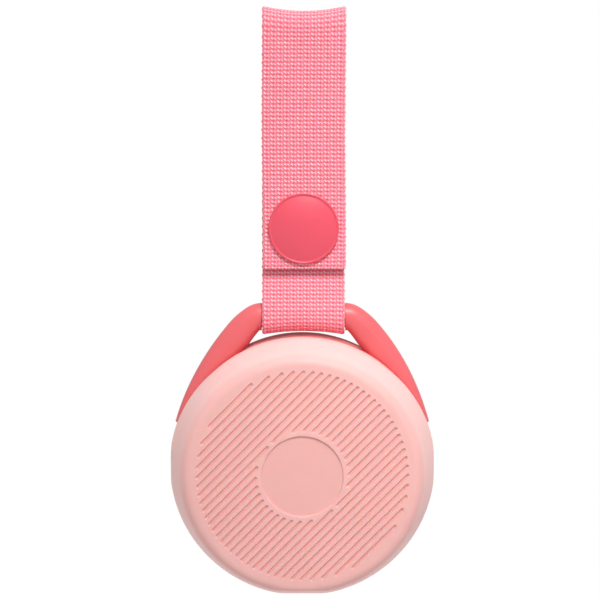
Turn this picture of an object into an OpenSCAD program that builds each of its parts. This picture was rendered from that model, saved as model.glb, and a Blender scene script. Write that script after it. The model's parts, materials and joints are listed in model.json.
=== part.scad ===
// Round portable shower speaker that hangs from a snap-closed webbing strap.
// The row frame has +Z up and its origin at the inside top of the strap's loop.
// The ribbed rear looks towards -Y and the grille towards +Y.
// The housing pieces are drawn about the housing's own centre, and hung() puts them in place.

/* [Strap] */
// Width of the webbing
webbing_w = 26; // [20:0.5:28]
// Thickness of the webbing
webbing_t = 1.5; // [1.2:0.1:1.8]
// Inside radius of the fold that the rail or hook goes through
fold_r = 4; // [3.5:0.25:6]
// Height from the inside of that fold down to the axis of the carrying bar
strap_drop = 94; // [85:1:130]
// Height of the snap's centre above the carrying bar's axis
snap_rise = 28.3; // [25:0.1:34]
// Length of the flap below the snap's centre
flap_tail = 13; // [12.5:0.5:16]
// Height of the sewn end above the snap's centre
sewn_top = 13; // [12:0.5:16]
// Height of the sewn end's lower seam below the snap's centre
sewn_bottom = 9; // [7:0.5:10]
// Height over which the runs of the strap close up below its fold
closing_len = 50; // [40:1:54]

/* [Snap] */
// Diameter of the snap's cap
cap_d = 22.3; // [18:0.1:24]
// Height of the cap over the webbing
cap_h = 2.5; // [2:0.1:3.5]
// Diameter of the snap's stud
stud_d = 5.8; // [5:0.1:7]
// Diameter of the rivet post that goes through the webbing
post_d = 3; // [2:0.1:4]
// Height of the stud over its flange
stud_h = 1.2; // [1:0.1:1.3]
// Thickness of the stud's flange
stud_flange_t = 0.6; // [0.4:0.05:0.7]
// Diameter of the snap's socket
socket_d = 11; // [9:0.5:13]
// Height of the snap's socket
socket_h = 1.5; // [1.3:0.05:1.6]

/* [Carrying loop] */
// Radius of the carrying bar
bar_r = 3.8; // [3.2:0.1:4]
// Height of the carrying bar's axis over the top of the housing's outer circle
bar_lift = 5.4; // [5.2:0.1:6]
// Room on the bar at each side of the webbing
bar_room = 1; // [0.8:0.1:2]
// Depth of the loop's band in the housing's rebate
band_w = 8.5; // [8:0.1:9]
// Step from the housing's outer radius in to that band
band_step = 0.95; // [0.85:0.05:1.05]
// Thickness of that band
band_t = 3.85; // [3.75:0.05:3.95]

/* [Housing] */
// Outer radius of the housing
body_r = 42; // [40:0.1:46]
// Step from that radius in to the rear cover's edge in front of the carrying loop
crown_step = 1.25; // [1.15:0.05:1.4]
// Depth of the flats at the two sides
side_cut = 0.45; // [0.3:0.05:0.7]
// Depth of the flat at the foot
foot_cut = 1.8; // [1.6:0.1:2.2]
// Distance from the carrying bar's plane to the rear face
rear_depth = 22; // [20:0.5:24]
// Distance from the carrying bar's plane to the front rim
front_depth = 17.2; // [17:0.2:20]
// Width of the rear shoulder, from the flat face out to the outer radius
shoulder_w = 7; // [6:0.5:8]
// Length of the straight side behind the seam
side_run = 3.75; // [3.75:0.25:6]
// Reach of the shoulder's round edge beyond the flat face
shoulder_round = 3.4; // [2.5:0.1:5]
// Depth of the front shoulder's curve
front_shoulder_h = 9; // [7:0.5:9.5]
// Thickness of the housing walls
wall = 2; // [1.6:0.1:2.2]

/* [Ribbed rear face] */
// Width of the plain margin round the ribbed field
rib_margin = 2.4; // [2:0.1:6]
// Distance from one groove to the next
rib_pitch = 2.15; // [1.8:0.05:3]
// Width of a groove
rib_w = 0.9; // [0.6:0.05:1.1]
// Depth of a groove
rib_d = 0.5; // [0.3:0.05:0.8]
// Angle of the grooves to the horizontal
rib_angle = 45; // [0:5:90]
// Radius of the plain dish in the middle of the ribbed field
dish_r = 12.5; // [8:0.5:16]
// Depth of the dish
dish_d = 0.6; // [0.3:0.05:0.8]
// Distance between the dish and the grooves' ends
dish_gap = 1.5; // [1:0.1:3]

/* [Grille and light ring] */
// Step from the housing's outer radius in to the opening in the front rim
opening_step = 5.8; // [5.6:0.1:6]
// Width of the light ring
light_ring_w = 1.8; // [1.4:0.1:2.2]
// Thickness of the grille's sheet
grille_t = 0.8; // [0.6:0.1:1]
// Distance of the grille's face behind the front rim
grille_inset = 0.6; // [0.4:0.1:1]
// Diameter of the grille's holes
grille_hole_d = 1.9; // [1.4:0.1:2.2]
// Distance between the rings of holes
grille_ring_pitch = 3.5; // [3.3:0.1:4.5]
// Number of rings of holes
grille_rings = 8; // [5:1:8]

/* [Driver] */
// Radius of the driver's flange
driver_r = 22.5; // [21.5:0.5:23]
// Width of the driver's flange
driver_flange_w = 2.3; // [2:0.1:2.6]
// Width of the soft surround and its glued edges
surround_w = 3.8; // [3.6:0.1:4.4]
// Radius of the voice coil
coil_r = 6.9; // [6:0.1:7]
// Share of the driver's radius that the magnet takes
magnet_share = 0.6; // [0.54:0.01:0.64]
// Thickness of the magnet
magnet_t = 6.5; // [5:0.5:8]

/* [Controls] */
// Angle between neighbouring buttons round the rim
button_step = 9.7; // [9.5:0.1:9.8]
// Length of a button along the housing's depth
button_len = 8; // [6:0.5:8]
// Width of a button round the rim
button_w = 4.8; // [4:0.2:4.8]
// Height of a button's face over the rim
button_proud = 0.15; // [0.1:0.05:0.4]
// Travel of a button
button_travel = 0.6; // [0.4:0.05:0.6]
// Length of the port cover
port_cover_len = 15; // [13:0.5:17]
// Width of the port cover
port_cover_w = 6.2; // [5.8:0.1:6.4]
// Thickness of the port cover
port_cover_t = 1.1; // [0.9:0.1:1.2]

/* [Inside] */
// Distance between the battery and the screw towers
battery_gap = 3.4; // [3:0.1:6]
// Distance between the battery's corners and the wall round them
battery_edge = 1.4; // [1.2:0.1:3]
// Thickness of the battery
battery_t = 7.5; // [5:0.5:8]
// Thickness of the main board
board_t = 1.2; // [1:0.1:1.6]
// Distance of the screw towers inside the housing's outer radius
tower_inset = 12; // [12:0.1:12.6]

/* [Fits] */
// Clearance between pieces that seat in each other
seat_gap = 0.1; // [0.05:0.05:0.15]
// Clearance between pieces that move past each other
run_gap = 0.25; // [0.2:0.05:0.3]

/* [Hidden] */
$fn = 72;
eps = 0.05;

soft_pink = [0.98, 0.79, 0.77];
coral = [0.94, 0.42, 0.44];
webbing_pink = [0.97, 0.58, 0.66];
steel = [0.76, 0.77, 0.79];
dark = [0.16, 0.16, 0.18];
board_green = [0.10, 0.36, 0.24];
copper = [0.78, 0.48, 0.26];

// Radii and flats that follow the housing's outer radius.
crown_r = body_r - crown_step;
band_r = body_r - band_step;
face_r = body_r - shoulder_w;
side_flat = body_r - side_cut;
foot_flat = body_r - foot_cut;
rib_field_r = face_r - rib_margin;
front_open_r = body_r - opening_step;
tower_circle_r = body_r - tower_inset;
bar_rise = body_r + bar_lift;
bar_half = webbing_w / 2 + bar_room;

// Places along the strap, from its fold down.
bar_z = -strap_drop;
body_z = bar_z - bar_rise;
snap_z = bar_z + snap_rise;
fold_z = -fold_r;
fold_mid = fold_r + webbing_t / 2;
bar_loop_mid = bar_r + run_gap + webbing_t / 2;
back_y = webbing_t / 2;
sewn_y = -webbing_t / 2 - seat_gap;
flap_y = -fold_mid;
flap_front = flap_y - webbing_t / 2;
flap_back = flap_y + webbing_t / 2;
flap_hinge_gap = 0.3;
sewn_front = sewn_y - webbing_t / 2;

// Places through the housing, along Y.
rear_y = -rear_depth;
floor_y = rear_y + wall;
split_y = -band_w / 2;
shelf_y = band_w / 2;
front_y = front_depth;
grille_y = front_y - grille_inset - grille_t;
baffle_t = 2;
ledge_t = 1.2;
baffle_y = front_y - 7.7;
baffle_front = baffle_y + baffle_t;
ledge_y = baffle_y - ledge_t;
light_ring_y = baffle_front + 1.8;

// Radii inside the housing.
floor_ring_r = band_r - band_t;
floor_ring_t = 2;
spigot_r = floor_ring_r - 0.2;
gasket_w = 0.8;
land_r = spigot_r + gasket_w + 2 * seat_gap;
land_y = split_y - 3.5;
ledge_r = front_open_r - 2.7;
channel_start = 17;
ramp_end = 48;
front_tilt = 9;

// Curved pieces that meet are drawn through these helpers.

// A flat drawing of x and z, made solid from y0 over a depth towards +Y.
module in_xz(y0, depth) {
    translate([0, y0 + depth, 0])
        rotate([90, 0, 0])
            linear_extrude(depth) children();
}

// A profile of radius and y, turned about the Y axis.
module turned() {
    rotate([-90, 0, 0]) rotate_extrude() children();
}

module ring(r_in, r_out, y0, depth) {
    in_xz(y0, depth) difference() {
        circle(r = r_out);
        circle(r = r_in);
    }
}

module disc(r, y0, depth) {
    in_xz(y0, depth) circle(r = r);
}

// A pie-shaped window between two angles, wide enough to cut any ring here.
module wedge(a1, a2) {
    polygon(concat([[0, 0]], [for (k = [0 : 6]) let (a = a1 + (a2 - a1) * k / 6) 2 * body_r * [cos(a), sin(a)]]));
}

module sector(r_in, r_out, a1, a2) {
    intersection() {
        difference() {
            circle(r = r_out);
            circle(r = r_in);
        }
        wedge(a1, a2);
    }
}

module slot(length, width) {
    square([length - width, width], center = true);
    for (side = [-1, 1]) translate([side * (length - width) / 2, 0]) circle(d = width);
}

module at_angle(a, r) {
    rotate([0, -a, 0]) translate([r, 0, 0]) children();
}

module hung() {
    translate([0, 0, body_z]) children();
}

function polar(r, a) = [r * cos(a), r * sin(a)];

// The housing's outline, inset by a wall: a circle with a flat at each side and at the foot.
module body_outline(inset = 0) {
    intersection() {
        circle(r = body_r - inset, $fn = 144);
        translate([-side_flat + inset, -foot_flat + inset])
            square([2 * (side_flat - inset), foot_flat + body_r]);
    }
}

// The lower part of the outline. On each side its radius falls evenly with the angle, from the
// channel's start down to the crown. The first point lies just outside the circle.
ramp_steps = 8;
ramp_over = 0.05;
function ramp(inset) = [for (k = [0 : ramp_steps]) let (share = k == 0 ? -ramp_over : k / ramp_steps)
    polar(body_r - inset - crown_step * share, channel_start + (ramp_end - channel_start) * share)];

module below_crown(inset = 0) {
    edge = ramp(inset);
    span = 2 * body_r;
    polygon(concat(
        [for (k = [ramp_steps : -1 : 0]) edge[k]],
        [[span, 0], [span, -span], [-span, -span], [-span, 0]],
        [for (k = [0 : ramp_steps]) [-edge[k][0], edge[k][1]]]));
}

module cover_outline(inset = 0) {
    intersection() {
        circle(r = crown_r - inset, $fn = 144);
        translate([-body_r, 0]) square([2 * body_r, body_r]);
    }
    intersection() {
        body_outline(inset);
        below_crown(inset);
    }
}

// The rear shoulder: a curve that leaves the flat face with a round edge and then runs
// nearly straight out to the side wall.
function rear_shoulder(inset, n = 12) = let (
    p0 = [face_r - inset, rear_y + inset],
    p1 = [face_r - inset + shoulder_round, rear_y + inset + shoulder_round / 3],
    p2 = [body_r - inset, split_y - side_run]
) [for (k = [0 : n]) let (t = k / n) (1 - t) * (1 - t) * p0 + 2 * t * (1 - t) * p1 + t * t * p2];

// An elliptic shoulder from [r0, y0] to [r1, y1], tangent to the face at its first end.
function shoulder(r0, y0, r1, y1, n = 10) =
    [for (k = [0 : n]) let (a = 90 * k / n) [r0 + (r1 - r0) * sin(a), y1 + (y0 - y1) * cos(a)]];

// Four towers carry the screws that hold the housing together.
tower_rise = 20;
tower_angles = [tower_rise, 180 - tower_rise, -65, -115];
tower_r = 2.8;
tower_screw_r = 1.1;

module at_towers() {
    for (a = tower_angles) rotate([0, -a, 0]) translate([tower_circle_r, 0, 0]) children();
}

// The charging port's place in the foot flat.
port_y = split_y - 5.15;
port_w = 9.6;
port_h = 3.9;
port_body_h = 3.2;
cover_recess_t = port_cover_t + 0.1;

// Main board and its posts.
board_y = port_y - port_body_h / 2 - board_t;
board_r = body_r - 9.5;
board_top_z = -2;
board_posts = [polar(board_r - 7.2, 198), polar(board_r - 7.2, 342), polar(board_r - 10.5, 270)];
board_post_r = 2.2;
board_screw_r = 0.9;

module grooves() {
    count = floor((rib_field_r - rib_w) / rib_pitch - 0.5);
    for (k = [-count - 1 : count]) {
        off = (k + 0.5) * rib_pitch;
        far = sqrt(pow(rib_field_r, 2) - off * off) - rib_w / 2;
        keep_out = dish_r + dish_gap;
        near = abs(off) < keep_out ? sqrt(pow(keep_out, 2) - off * off) + rib_w / 2 : 0;
        for (side = near > 0 ? [-1, 1] : [0]) {
            from = side == 0 ? -far : near;
            if (far - from > rib_w)
                translate([(side == 0 ? 0 : side * (far + from) / 2), off])
                    slot(far - from + rib_w, rib_w);
        }
    }
}

module rear_cover() {
    color(soft_pink) hung() difference() {
        union() {
            difference() {
                intersection() {
                    turned() polygon(concat(
                        rear_shoulder(0),
                        [[body_r, split_y], [0, split_y], [0, rear_y]]));
                    in_xz(rear_y - 1, rear_depth + 1) cover_outline();
                }
                intersection() {
                    turned() polygon(concat(
                        rear_shoulder(wall),
                        [[body_r - wall, land_y], [land_r, land_y],
                         [land_r, split_y + 1], [0, split_y + 1], [0, floor_y]]));
                    in_xz(rear_y - 1, rear_depth + 1) cover_outline(wall);
                }
            }
            at_towers() disc(tower_r, floor_y - eps, baffle_y - floor_y + eps - seat_gap);
            for (p = board_posts)
                translate([p[0], 0, p[1]]) disc(board_post_r, floor_y - eps, board_y - floor_y + eps);
        }
        at_towers() disc(tower_screw_r, baffle_y - 9, 12);
        for (p = board_posts)
            translate([p[0], 0, p[1]]) disc(board_screw_r, board_y - 3, 4);
        in_xz(rear_y - 1, 1 + rib_d) rotate(rib_angle) grooves();
        disc(dish_r, rear_y - 1, 1 + dish_d);
        translate([0, port_y, -foot_flat - 1]) linear_extrude(wall + 2) slot(port_w, port_h);
        translate([0, port_y, -foot_flat - 1])
            linear_extrude(1 + cover_recess_t)
                square([port_cover_len + 2 * run_gap, port_cover_w + 2 * run_gap], center = true);
    }
}

// The buttons' places: three on each side, stepped round the rim.
button_y = 1;
left_side = 180;
right_side = 0;
flex_r = floor_ring_r - 0.8;
flex_t = 0.6;
switch_h = 0.8;
flange_t = 0.8;
switch_gap = 0.3;
flange_in = flex_r + flex_t + switch_h + button_travel + switch_gap;

// The front housing's form.
rim_face_w = 1.8;
room_end = 1.6;
flex_end = channel_start - room_end - 0.6;
spigot_len = 2.75;
front_shoulder = shoulder(front_open_r + rim_face_w, front_y, body_r, front_y - front_shoulder_h);

module button_window(gap = 0) {
    rotate([90, 0, 90]) linear_extrude(12) slot(button_len + 2 * gap, button_w + 2 * gap);
}

status_a = 180 + 1.5 * button_step;
status_y = button_y + 6;
status_r = 0.8;

module front_housing() {
    // The outer form: full round below, and over the carrying loop a crown that tilts down
    // towards the front.
    color(soft_pink) hung() difference() {
        union() {
            intersection() {
                turned() polygon(concat(
                    [[0, split_y], [body_r, split_y]],
                    [for (k = [10 : -1 : 0]) front_shoulder[k]],
                    [[0, front_y]]));
                in_xz(split_y, front_y - split_y) body_outline();
                translate([0, shelf_y, 0]) rotate([-front_tilt, 0, 0])
                    in_xz(-body_r, 2 * body_r) union() {
                        circle(r = band_r, $fn = 144);
                        below_crown();
                    }
            }
            disc(spigot_r, split_y - spigot_len, spigot_len + eps);
        }
        // The bore, the ledge for the baffle and the opening in the rim.
        disc(floor_ring_r - floor_ring_t, split_y - 2 * spigot_len, ledge_y - split_y + 2 * spigot_len);
        disc(ledge_r, split_y, front_y);
        disc(front_open_r, baffle_y, front_y);
        // The room for the buttons, between the outer wall and the inner ring.
        in_xz(split_y - 1, ledge_y - wall - split_y + 1) difference() {
            intersection() {
                body_outline(wall);
                wedge(180 - channel_start + room_end, 360 + channel_start - room_end);
            }
            circle(r = flex_r - seat_gap);
        }
        // The rebate for the carrying loop.
        in_xz(split_y - 1, band_w + 1)
            sector(floor_ring_r, body_r + 3, channel_start, 180 - channel_start);
        for (side = [left_side, right_side], k = [-1 : 1])
            at_angle(side + k * button_step, floor_ring_r + 1)
                translate([0, button_y, 0]) button_window(run_gap);
        at_angle(status_a, floor_ring_r + 1)
            translate([0, status_y, 0]) rotate([0, 90, 0]) cylinder(r = status_r + seat_gap, h = 12);
    }
}

// The carrying loop: its outer edge leaves the straight bar at an angle and runs down in two
// tangent arcs on each side. Each arc has a radius and a sweep.
arm_lean = 9;
loop_arcs = [[0.301 * body_r, 37.9], [1.971 * body_r, 27.3]];
arm_steps = [12, 14];
arm_collar = 0.12;
arm_t_bar = 2 * (bar_r + arm_collar);
arm_t_knee = 10.2;
arm_t_tip = 5.2;
knee_u = arm_steps[0] / (arm_steps[0] + arm_steps[1]);

// The arm swells from the bar to the knee, where it meets the band, and thins to its tip.
function ease(x) = x * x * (3 - 2 * x);
function arm_t(u) = u < knee_u
    ? arm_t_bar + (arm_t_knee - arm_t_bar) * ease(u / knee_u)
    : arm_t_knee + (arm_t_tip - arm_t_knee) * (u - knee_u) / (1 - knee_u);

// The edge's point and heading after a length of arc, by adding up the chords of both arcs.
function arc_walk(p, h, r, a) =
    [p[0] + r * (sin(h + a) - sin(h)), p[1] - r * (cos(h) - cos(h + a)), h + a];

arm_points = let (
    start = [bar_half, bar_rise + bar_r + arm_collar, arm_lean],
    one = [for (k = [0 : arm_steps[0]])
        arc_walk(start, start[2], loop_arcs[0][0], loop_arcs[0][1] * k / arm_steps[0])],
    knee = one[arm_steps[0]],
    two = [for (k = [1 : arm_steps[1]])
        arc_walk(knee, knee[2], loop_arcs[1][0], loop_arcs[1][1] * k / arm_steps[1])]
) concat(one, two);

// A rounded section of the arm: t across the arm and w through the housing's depth.
// It is upright at the bar and square to the arm further down, and its inner side stops
// within the band.
arm_sides = 24;
arm_root_r = floor_ring_r + 1.2;
function outside(r, x, z) = norm([x, z]) < r ? r / norm([x, z]) : 1;
function arm_section(p, u) = let (
    t = arm_t(u),
    w = bar_r + arm_collar + (band_w / 2 - 3 * seat_gap - bar_r) * u,
    n = 2 / (2 + 1.2 * u),
    lean = p[2] * min(1, 4 * u),
    inward = [-sin(lean), -cos(lean)]
) [for (k = [0 : arm_sides - 1]) let (
        a = 360 * k / arm_sides,
        c = sign(cos(a)) * pow(abs(cos(a)), n),
        s = sign(sin(a)) * pow(abs(sin(a)), n),
        x = p[0] + inward[0] * t / 2 * (1 - c),
        z = p[1] + inward[1] * t / 2 * (1 - c),
        k_out = outside(arm_root_r, x, z)
    ) [x * k_out, w * s, z * k_out]];

module loft(sections) {
    n = len(sections[0]);
    m = len(sections);
    faces = concat(
        [[for (k = [n - 1 : -1 : 0]) k]],
        [for (j = [0 : m - 2], k = [0 : n - 1]) let (q = (k + 1) % n)
            [j * n + k, j * n + q, (j + 1) * n + q, (j + 1) * n + k]],
        [[for (k = [0 : n - 1]) (m - 1) * n + k]]);
    polyhedron(points = [for (s = sections) each s], faces = faces, convexity = 6);
}

module strap_yoke() {
    last = len(arm_points) - 1;
    color(coral) hung() {
        translate([-bar_half - eps, 0, bar_rise])
            rotate([0, 90, 0]) cylinder(r = bar_r, h = 2 * bar_half + 2 * eps);
        in_xz(split_y + seat_gap, band_w - 2 * seat_gap)
            sector(floor_ring_r + seat_gap, band_r, channel_start + 0.5, 180 - channel_start - 0.5);
        for (side = [0, 1]) mirror([side, 0, 0])
            loft([for (k = [0 : last]) arm_section(arm_points[k], k / last)]);
    }
}

module housing_gasket() {
    color(dark) hung() ring(spigot_r + seat_gap, spigot_r + seat_gap + gasket_w, split_y - 2.2, gasket_w);
}

screw_head_r = 2.2;

module housing_screws() {
    color(steel) hung() at_towers() {
        difference() {
            disc(screw_head_r, baffle_front, 1.4);
            in_xz(baffle_front + 0.6, 2) circle(r = 1, $fn = 6);
        }
        disc(tower_screw_r - seat_gap, baffle_front - 9, 9 + eps);
    }
}

grille_r = front_open_r - light_ring_w - 0.25;
grille_skirt_y = light_ring_y + 0.7;

// A ring of holes for each step out from the middle, six more each time.
module grille_holes() {
    circle(d = grille_hole_d, $fn = 20);
    for (j = [1 : grille_rings], k = [0 : 6 * j - 1])
        rotate(360 * (k + (j % 2) / 2) / (6 * j))
            translate([j * grille_ring_pitch, 0]) circle(d = grille_hole_d, $fn = 20);
}

module grille() {
    color(coral) hung() difference() {
        union() {
            disc(grille_r, grille_y, grille_t);
            ring(grille_r - grille_t, grille_r, grille_skirt_y, grille_y - grille_skirt_y + eps);
        }
        in_xz(grille_y - 1, grille_t + 2) grille_holes();
    }
}

cloth_t = 0.3;

module grille_cloth() {
    color(dark) hung() disc(grille_r - grille_t - seat_gap, grille_y - cloth_t - seat_gap, cloth_t);
}

module light_ring() {
    color([1, 0.96, 0.94]) hung() {
        ring(front_open_r - light_ring_w, front_open_r - seat_gap, light_ring_y, front_y - 0.3 - light_ring_y);
        ring(front_open_r - light_ring_w - 1, front_open_r - seat_gap, light_ring_y, 0.6);
    }
}

led_board_y = baffle_front + 0.1;
led_board_t = 0.8;
led_board_in = ledge_r - 0.3;
led_count = 12;

module led_board() {
    color("white") hung() ring(led_board_in, front_open_r - 0.2, led_board_y, led_board_t);
}

module led_chips() {
    color([1, 0.95, 0.7]) hung()
        for (k = [0 : led_count - 1])
            at_angle(360 * (k + 0.5) / led_count, (led_board_in + front_open_r) / 2)
                translate([-0.8, led_board_y + led_board_t, -0.8]) cube([1.6, 0.6, 1.6]);
}

driver_hole_r = driver_r - driver_flange_w;
driver_flange_t = 1.2;
gasket_t = 0.4;
flange_y = baffle_front + gasket_t;
driver_screw_circle = driver_hole_r + (driver_r - driver_hole_r) / 2 + 0.35;
driver_screw_angles = [45, 135, 225, 315];
driver_screw_r = 0.6;

module driver_baffle() {
    color(dark) hung() difference() {
        disc(front_open_r - 0.3, baffle_y, baffle_t);
        disc(driver_hole_r, baffle_y - 1, baffle_t + 2);
        at_towers() disc(tower_screw_r + seat_gap, baffle_y - 1, baffle_t + 2);
        for (a = driver_screw_angles)
            at_angle(a, driver_screw_circle) disc(driver_screw_r, baffle_y - 1, baffle_t + 2);
    }
}

module driver_gasket() {
    color([0.3, 0.3, 0.3]) hung() difference() {
        ring(driver_hole_r, driver_r, baffle_front, gasket_t);
        for (a = driver_screw_angles)
            at_angle(a, driver_screw_circle) disc(driver_screw_r + seat_gap, baffle_front - 1, gasket_t + 2);
    }
}

module driver_screws() {
    color(steel) hung() for (a = driver_screw_angles) at_angle(a, driver_screw_circle) {
        disc(1.1, flange_y + driver_flange_t, 0.7);
        disc(driver_screw_r - seat_gap, baffle_y + 0.4, flange_y + driver_flange_t - baffle_y - 0.4 + eps);
    }
}

// The motor's stack, from the top plate back, and what hangs in the basket over it.
cone_r = driver_hole_r - surround_w;
magnet_r = magnet_share * driver_r;
top_plate_y = flange_y - 12.4;
top_plate_t = 1.5;
magnet_y = top_plate_y - magnet_t;
back_plate_t = 2;
gap_in = coil_r - 1.1;
gap_out = coil_r + 0.3;
basket_r = driver_hole_r - 0.4;
surround_in = cone_r + 0.4;
cone_y = flange_y - 0.2;
cone_neck_y = flange_y - 4.5;
spider_y = flange_y - 8.3;
basket_foot_y = top_plate_y + top_plate_t;
basket_knee_y = flange_y - 6.9;

module driver_basket() {
    color([0.35, 0.35, 0.37]) hung() difference() {
        turned() polygon([
            [driver_hole_r - 0.9, flange_y], [driver_r, flange_y],
            [driver_r, flange_y + driver_flange_t], [driver_hole_r - 0.2, flange_y + driver_flange_t],
            [driver_hole_r - 1.8, flange_y - 1], [magnet_r + 1.3, basket_knee_y + 0.4],
            [magnet_r + 1.3, basket_foot_y + 1], [gap_out, basket_foot_y + 1], [gap_out, basket_foot_y],
            [magnet_r + 2.4, basket_foot_y], [magnet_r + 2.4, basket_knee_y], [basket_r, flange_y - 1.2],
            [basket_r, flange_y]]);
        for (a = driver_screw_angles)
            at_angle(a, driver_screw_circle) disc(driver_screw_r + seat_gap, flange_y - 1, 4);
        // Windows between the basket's legs.
        for (k = [0 : 5]) rotate([0, -60 * k, 0])
            translate([magnet_r + 5.5, basket_knee_y + 2.2, 0]) cube([11, 4, 9], center = true);
    }
}

module driver_magnet() {
    color([0.22, 0.22, 0.24]) hung() {
        ring(gap_out, magnet_r, top_plate_y, top_plate_t);
        ring(gap_out + 1.6, magnet_r, magnet_y, magnet_t);
    }
}

module driver_pole_piece() {
    color(steel) hung() {
        disc(magnet_r - 0.5, magnet_y - back_plate_t, back_plate_t);
        disc(gap_in, magnet_y - eps, magnet_t + top_plate_t + eps);
    }
}

module voice_coil() {
    color(copper) hung() ring(coil_r - 0.7, coil_r, top_plate_y - 2, cone_neck_y - 0.1 - top_plate_y + 2);
}

module driver_cone() {
    color([0.13, 0.13, 0.14]) hung() turned() polygon([
        [coil_r + seat_gap / 2, cone_neck_y - 1.4], [cone_r, cone_y - 0.7], [cone_r, cone_y],
        [coil_r + seat_gap / 2, cone_neck_y - 0.6]]);
}

module dust_cap() {
    color([0.2, 0.2, 0.21]) hung() intersection() {
        translate([0, cone_neck_y - 6, 0]) difference() {
            sphere(r = 8.9);
            sphere(r = 8.4);
        }
        disc(coil_r - 0.1, cone_neck_y - 0.05, 6);
    }
}

module driver_surround() {
    roll_r = (driver_hole_r - 0.9 - surround_in) / 2;
    mid = surround_in + roll_r;
    color([0.1, 0.1, 0.1]) hung() intersection() {
        turned() translate([mid, flange_y + driver_flange_t]) difference() {
            circle(r = roll_r);
            circle(r = roll_r - 0.5);
        }
        disc(driver_r, flange_y + driver_flange_t, 4);
    }
}

module driver_spider() {
    r_in = coil_r + 0.35;
    step = (magnet_r + 0.95 - r_in) / 4;
    color([0.85, 0.7, 0.4]) hung() for (k = [0 : 3])
        ring(r_in + step * k, r_in + step * (k + 1) + (k < 3 ? eps : 0), spider_y + (k % 2) * 0.3, 0.4);
}

battery_z = 3;
battery_w = 2 * (tower_circle_r * cos(tower_rise) - tower_r - battery_gap);
battery_h = sqrt(pow(face_r - battery_edge, 2) - pow(battery_w / 2, 2)) - battery_z;
pad_t = 0.4;

module battery_pack() {
    color([0.75, 0.76, 0.80]) hung() {
        in_xz(floor_y + pad_t, battery_t) translate([-battery_w / 2, battery_z])
            square([battery_w, battery_h]);
        translate([-8, floor_y + pad_t + 1, battery_z - 1.6]) cube([16, battery_t - 2, 1.6 + eps]);
    }
}

module battery_pad() {
    color([0.2, 0.2, 0.2]) hung() in_xz(floor_y, pad_t)
        translate([-battery_w / 2 + 3, battery_z + 2]) square([battery_w - 6, battery_h - 4]);
}

module board_outline() {
    intersection() {
        circle(r = board_r);
        translate([-board_r, -board_r]) square([2 * board_r, board_r + board_top_z]);
    }
    translate([-8, -foot_flat + wall + 1.4]) square([16, 12]);
}

module main_board() {
    color(board_green) hung() difference() {
        in_xz(board_y, board_t) difference() {
            board_outline();
            for (p = board_posts) translate(p) circle(r = board_screw_r + seat_gap);
        }
        at_towers() disc(tower_r + run_gap, board_y - 1, board_t + 2);
    }
}

// Chips on the main board: x and z as shares of the board's radius, width, height and thickness.
chip_list = [
    [-0.4, -0.31, 7, 7, 1], [0.06, -0.25, 9, 6, 1.2], [0.4, -0.43, 5, 5, 0.9], [-0.18, -0.58, 4, 4, 0.8],
    [0.54, -0.22, 4, 3, 1.6], [-0.52, -0.58, 4, 4, 2.2], [0.25, -0.62, 3, 2, 0.6], [-0.25, -0.85, 3, 2, 0.6]
];

module board_chips() {
    color(dark) hung() for (c = chip_list)
        translate([board_r * c[0] - c[2] / 2, board_y + board_t, board_r * c[1] - c[3] / 2])
            cube([c[2], c[4], c[3]]);
}

module board_screws() {
    color(steel) hung() for (p = board_posts) translate([p[0], 0, p[1]]) {
        disc(1.8, board_y + board_t, 1);
        disc(board_screw_r - seat_gap, board_y - 2.6, board_t + 2.6 + eps);
    }
}

usb_w = 8.9;
usb_len = 7.3;
usb_mouth_z = -foot_flat + wall + 0.2;

module usb_port() {
    color(steel) hung() {
        translate([0, port_y, usb_mouth_z]) linear_extrude(usb_len) difference() {
            slot(usb_w, port_body_h);
            slot(usb_w - 0.6, port_body_h - 0.6);
        }
        translate([0, port_y, usb_mouth_z + usb_len - 1]) linear_extrude(1) slot(usb_w - 0.5, port_body_h - 0.5);
        translate([-3.2, port_y - 0.35, usb_mouth_z + 1]) cube([6.4, 0.7, usb_len - 1.5]);
    }
}

module key_flex() {
    color([0.8, 0.55, 0.2]) hung() for (side = [left_side, right_side])
        in_xz(button_y - 4, 8) sector(flex_r, flex_r + flex_t, side - flex_end, side + flex_end);
}

module at_buttons(r) {
    for (side = [left_side, right_side], k = [-1 : 1])
        at_angle(side + k * button_step, r) translate([0, button_y, 0]) children();
}

module tact_switches() {
    color([0.25, 0.25, 0.27]) hung() at_buttons(flex_r + flex_t) {
        translate([0.08, -1.7, -1.7]) cube([switch_h - 0.4, 3.4, 3.4]);
        translate([0.08, 0, 0]) rotate([0, 90, 0]) cylinder(r = 0.9, h = switch_h - 0.1);
    }
}

module status_light() {
    color([0.95, 0.98, 1]) hung() at_angle(status_a, flex_r + flex_t + 2.2)
        translate([0, status_y, 0]) rotate([0, 90, 0])
            cylinder(r = status_r, h = body_r - flex_r - flex_t - 2.2 - 0.1);
}

// A button: its key in the wall's window, with a flange behind the wall.
module side_button(a) {
    color(coral) hung() intersection() {
        at_angle(a, 0) translate([0, button_y, 0]) {
            translate([flange_in, 0, 0]) button_window();
            translate([flange_in, 0, 0]) rotate([90, 0, 90])
                linear_extrude(flange_t) slot(button_len + 2, button_w + 1.4);
        }
        in_xz(-20, 40) body_outline(-button_proud);
    }
}

module power_button() side_button(left_side - button_step);
module pairing_button() side_button(left_side);
module light_button() side_button(left_side + button_step);
module volume_up_button() side_button(right_side + button_step);
module play_button() side_button(right_side);
module volume_down_button() side_button(right_side - button_step);

// The port cover turns on a rounded edge at its +X end.
port_pin_x = port_cover_len / 2 - port_cover_t / 2;
port_pin_z = -foot_flat + port_cover_t / 2;

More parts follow.
